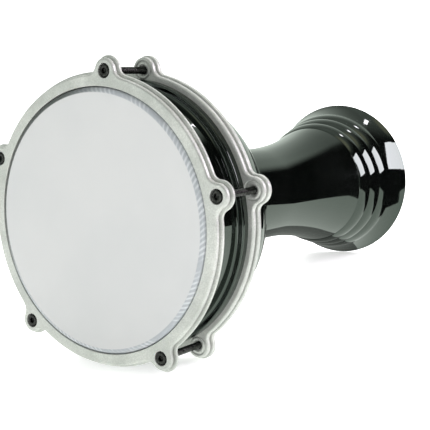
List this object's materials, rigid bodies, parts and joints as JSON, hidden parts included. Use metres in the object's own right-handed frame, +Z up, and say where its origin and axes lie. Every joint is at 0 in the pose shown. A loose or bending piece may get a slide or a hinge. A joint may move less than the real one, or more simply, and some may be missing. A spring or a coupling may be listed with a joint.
{
  "type": "goblet drum",
  "caption": "Goblet drum lying on its side: black cast shell with flared foot, film head, and two cast rims drawn together by hex-socket tuning bolts.",
  "frame": {"origin": "on the floor under the middle of the drum's box, as it lies on the lip and one lug of its counter rim and the edge of its foot", "axes": "+Z up; +Y from the head to the foot, level, so the drum's own axis dips 6.4 degrees below +Y; +X to the right when facing the way +Y points"},
  "size_m": [0.2182, 0.3623, 0.2219],
  "materials": {
    "shell_lacquer": "cast aluminium under high-gloss black lacquer",
    "cast_rim": "tumbled, satin bare casting",
    "head_film": "smooth translucent white polyester film",
    "film_resin": "cast epoxy resin",
    "flesh_hoop": "mill-finish rolled strip",
    "nut_steel": "zinc-plated steel",
    "washer_steel": "zinc-plated steel",
    "black_bolt": "black oxide on steel"
  },
  "bodies": {
    "drum_body": {"shell": "shell_lacquer", "counter_rim": "cast_rim", "head_film": "head_film", "captive_nut_1": "nut_steel", "captive_nut_2": "nut_steel", "captive_nut_3": "nut_steel", "captive_nut_4": "nut_steel", "captive_nut_5": "nut_steel"},
    "tension_ring": {"tension_rim": "cast_rim", "flesh_hoop": "flesh_hoop", "film_resin": "film_resin", "washer_1": "washer_steel", "washer_2": "washer_steel", "washer_3": "washer_steel", "washer_4": "washer_steel", "washer_5": "washer_steel"},
    "bolt_1": {"tuning_bolt_1": "black_bolt"},
    "bolt_2": {"tuning_bolt_2": "black_bolt"},
    "bolt_3": {"tuning_bolt_3": "black_bolt"},
    "bolt_4": {"tuning_bolt_4": "black_bolt"},
    "bolt_5": {"tuning_bolt_5": "black_bolt"}
  },
  "joints": [
    {"name": "head_tension", "type": "slide", "parent": "drum_body", "child": "tension_ring", "axis": [0, 0.9937, -0.1122], "range_m": [-0.0015, 0.0015]},
    {"name": "bolt_1_turn", "type": "hinge", "parent": "tension_ring", "child": "bolt_1", "pos_m": [0.01127, -0.15778, 0.21201], "axis": [0, 0.9937, -0.1122], "range_deg": [-675.5, 675.5]},
    {"name": "bolt_2_turn", "type": "hinge", "parent": "tension_ring", "child": "bolt_2", "pos_m": [-0.09865, -0.16408, 0.1562], "axis": [0, 0.9937, -0.1122], "range_deg": [-675.5, 675.5]},
    {"name": "bolt_3_turn", "type": "hinge", "parent": "tension_ring", "child": "bolt_3", "pos_m": [-0.0792, -0.17775, 0.03507], "axis": [0, 0.9937, -0.1122], "range_deg": [-675.5, 675.5]},
    {"name": "bolt_4_turn", "type": "hinge", "parent": "tension_ring", "child": "bolt_4", "pos_m": [0.04274, -0.17991, 0.01603], "axis": [0, 0.9937, -0.1122], "range_deg": [-675.5, 675.5]},
    {"name": "bolt_5_turn", "type": "hinge", "parent": "tension_ring", "child": "bolt_5", "pos_m": [0.09865, -0.16756, 0.12538], "axis": [0, 0.9937, -0.1122], "range_deg": [-675.5, 675.5]}
  ],
  "couplings": [
    {"joint": "bolt_1_turn", "follows": "head_tension", "rad_per_m": 7854},
    {"joint": "bolt_2_turn", "follows": "head_tension", "rad_per_m": 7854},
    {"joint": "bolt_3_turn", "follows": "head_tension", "rad_per_m": 7854},
    {"joint": "bolt_4_turn", "follows": "head_tension", "rad_per_m": 7854},
    {"joint": "bolt_5_turn", "follows": "head_tension", "rad_per_m": 7854}
  ]
}
